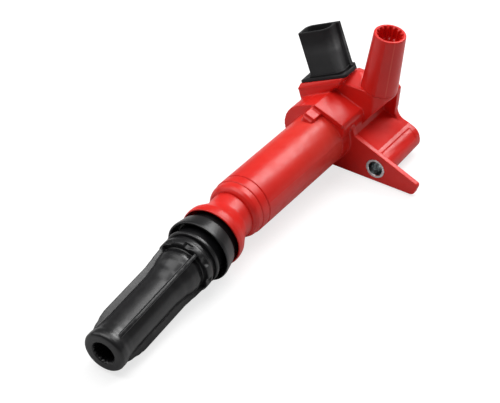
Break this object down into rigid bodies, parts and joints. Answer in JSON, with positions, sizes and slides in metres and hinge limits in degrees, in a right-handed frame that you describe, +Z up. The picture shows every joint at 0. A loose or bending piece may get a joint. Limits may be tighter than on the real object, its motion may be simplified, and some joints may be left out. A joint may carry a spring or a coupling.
{
  "type": "ignition coil",
  "caption": "Pencil ignition coil with a finned rubber plug boot, a bolt ear, an electrical connector and a second high-voltage tower on its head.",
  "frame": {"origin": "centre of the bolt bore at the seating face of the ear", "axes": "+X along the barrel from the plug boot to the head, +Z up with the coil lying on its side, -Y to the ear's tip"},
  "size_m": [0.1963, 0.0701, 0.066],
  "materials": {
    "housing_red": "smooth moulded plastic, satin sheen",
    "limiter_steel": "zinc plated steel sleeve",
    "connector_black": "fine moulded plastic",
    "blade_tin": "tin plated blade",
    "copper_wire": "enamelled copper",
    "terminal_brass": "turned brass",
    "core_steel": "electrical steel sheet",
    "magnet_grey": "coated magnet",
    "cushion_rubber": "soft foam rubber",
    "bobbin_plastic": "natural moulded plastic",
    "potting_resin": "cast epoxy resin",
    "boot_rubber": "satin moulded rubber",
    "seal_rubber": "satin moulded rubber",
    "spring_steel": "drawn spring wire"
  },
  "bodies": {
    "coil_body": {"housing": "housing_red", "outlet": "housing_red", "tower": "housing_red", "compression_limiter": "limiter_steel", "connector_shell": "connector_black", "supply_blade": "blade_tin", "trigger_blade": "blade_tin", "supply_lead": "copper_wire", "trigger_lead": "copper_wire", "tower_terminal": "terminal_brass", "tower_lead": "copper_wire", "core": "core_steel", "front_magnet": "magnet_grey", "rear_magnet": "magnet_grey", "front_cushion": "cushion_rubber", "rear_cushion": "cushion_rubber", "secondary_bobbin": "bobbin_plastic", "primary_bobbin": "bobbin_plastic", "secondary_winding": "copper_wire", "primary_winding": "copper_wire", "shield": "core_steel", "potting": "potting_resin", "snout_terminal": "terminal_brass"},
    "boot": {"plug_boot": "boot_rubber", "well_seal": "seal_rubber", "contact_spring": "spring_steel"},
    "contact": {"plug_contact": "terminal_brass"}
  },
  "joints": [
    {"name": "boot_bend", "type": "hinge", "parent": "coil_body", "child": "boot", "pos_m": [-0.08594, 0.02516, 0.00813], "axis": [0, 0.7513, -0.66], "range_deg": [-4, 4.8], "stiffness_Nm_per_rad": 3},
    {"name": "contact_travel", "type": "slide", "parent": "boot", "child": "contact", "axis": [0.9965, 0.0552, 0.0629], "range_m": [0, 0.003], "stiffness_N_per_m": 400, "springref_m": -0.004, "deforming": ["contact_spring"]}
  ]
}
